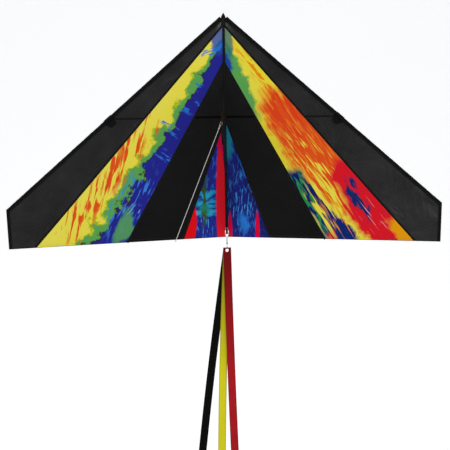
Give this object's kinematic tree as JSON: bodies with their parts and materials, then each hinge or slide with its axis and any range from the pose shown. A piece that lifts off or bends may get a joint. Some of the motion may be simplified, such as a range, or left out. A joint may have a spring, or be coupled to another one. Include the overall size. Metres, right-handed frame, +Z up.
{
  "type": "delta kite",
  "caption": "Single-line delta kite with a panelled cloth sail on rods, a keel fin with a tow line, a removable spreader and long ribbon tails on a swivel.",
  "frame": {"origin": "tip of the nose, where the two leading edges and the spine meet", "axes": "+Z up the spine towards the nose, -Y out of the sail on the keel side, +X along the wing on the right as seen from the keel side"},
  "size_m": [1.4168, 0.6211, 2.251],
  "materials": {
    "rod": "satin black glass-fibre rod",
    "vinyl": "soft black vinyl",
    "sleeve_cloth": "black woven polyester",
    "black_cloth": "thin black ripstop cloth with a soft sheen",
    "printed_cloth": "thin cloth dyed in yellow, red, green and blue flames",
    "bright_metal": "bright nickel plate",
    "dark_metal": "blackened metal",
    "dark_cord": "thin braided cord",
    "line": "pale braided line",
    "red_ribbon": "dark red polyester ribbon",
    "yellow_ribbon": "yellow polyester ribbon",
    "black_ribbon": "black polyester ribbon"
  },
  "bodies": {
    "spine": {"nose_pocket": "sleeve_cloth", "spine_spar": "rod", "spine_sleeve": "sleeve_cloth", "spine_foot_cap": "vinyl"},
    "left_wing": {"left_leading_spar": "rod", "left_spar_tip_cap": "vinyl", "left_spar_nose_cap": "vinyl", "left_sleeve_upper": "sleeve_cloth", "left_sleeve_lower": "sleeve_cloth", "left_outer_panel": "black_cloth", "left_dye_panel": "printed_cloth", "left_inner_panel": "black_cloth", "left_centre_panel": "printed_cloth", "left_trailing_hem": "black_cloth", "left_tip_hem": "black_cloth", "left_spreader_patch": "black_cloth"},
    "right_wing": {"right_leading_spar": "rod", "right_spar_tip_cap": "vinyl", "right_spar_nose_cap": "vinyl", "right_sleeve_upper": "sleeve_cloth", "right_sleeve_lower": "sleeve_cloth", "right_outer_panel": "black_cloth", "right_dye_panel": "printed_cloth", "right_inner_panel": "black_cloth", "right_centre_panel": "printed_cloth", "right_trailing_hem": "black_cloth", "right_tip_hem": "black_cloth", "right_spreader_patch": "black_cloth"},
    "spreader": {"spreader_rod": "rod", "spreader_clip_left": "vinyl", "spreader_clip_right": "vinyl"},
    "keel": {"keel_fin": "black_cloth", "keel_leading_hem": "black_cloth", "keel_trailing_hem": "black_cloth", "tow_patch": "sleeve_cloth", "tow_eyelet": "bright_metal"},
    "tow_snap": {"tow_snap": "bright_metal", "tow_swivel_barrel": "bright_metal"},
    "line": {"tow_swivel_eye": "bright_metal", "line_knot": "line", "flying_line": "line", "line_end_knot": "line"},
    "tail_loop": {"tail_loop": "dark_cord", "tail_loop_knot": "dark_cord", "tail_swivel_eye": "dark_metal", "tail_swivel_barrel": "dark_metal"},
    "tail_snap": {"tail_snap": "dark_metal"},
    "red_ribbon": {"ribbon_red": "red_ribbon"},
    "yellow_ribbon": {"ribbon_yellow": "yellow_ribbon"},
    "black_ribbon": {"ribbon_black": "black_ribbon"}
  },
  "joints": [
    {"name": "left_wing_fold", "type": "hinge", "parent": "spine", "child": "left_wing", "pos_m": [0, 0, -0.35], "axis": [0, 0, 1], "range_deg": [0, 60]},
    {"name": "right_wing_fold", "type": "hinge", "parent": "spine", "child": "right_wing", "pos_m": [0, 0, -0.35], "axis": [0, 0, -1], "range_deg": [0, 60]},
    {"name": "spreader_release", "type": "slide", "parent": "left_wing", "child": "spreader", "axis": [0, 1, 0], "range_m": [0, 0.12]},
    {"name": "keel_swing", "type": "hinge", "parent": "spine", "child": "keel", "pos_m": [0, 0, -0.4], "axis": [0, 0, 1], "range_deg": [-15, 15]},
    {"name": "tow_snap_pivot", "type": "hinge", "parent": "keel", "child": "tow_snap", "pos_m": [-0.01773, -0.15944, -0.36074], "axis": [0.9629, -0.2437, -0.1162], "range_deg": [-50, 10]},
    {"name": "line_swivel", "type": "hinge", "parent": "tow_snap", "child": "line", "pos_m": [-0.02289, -0.17379, -0.37336], "axis": [-0.2605, -0.7252, -0.6374], "continuous": true},
    {"name": "tail_swing", "type": "hinge", "parent": "spine", "child": "tail_loop", "pos_m": [0, 0, -0.699], "axis": [1, 0, 0], "range_deg": [-40, 40]},
    {"name": "tail_swivel", "type": "hinge", "parent": "tail_loop", "child": "tail_snap", "pos_m": [0, 0, -0.7363], "axis": [0, 0, 1], "continuous": true},
    {"name": "red_ribbon_swing", "type": "hinge", "parent": "tail_snap", "child": "red_ribbon", "pos_m": [0, -0.0011, -0.751], "axis": [0, 1, 0], "range_deg": [-30, 30]},
    {"name": "yellow_ribbon_swing", "type": "hinge", "parent": "tail_snap", "child": "yellow_ribbon", "pos_m": [0, 0, -0.751], "axis": [0, 1, 0], "range_deg": [-30, 30]},
    {"name": "black_ribbon_swing", "type": "hinge", "parent": "tail_snap", "child": "black_ribbon", "pos_m": [0, 0.0011, -0.751], "axis": [0, 1, 0], "range_deg": [-30, 30]}
  ]
}
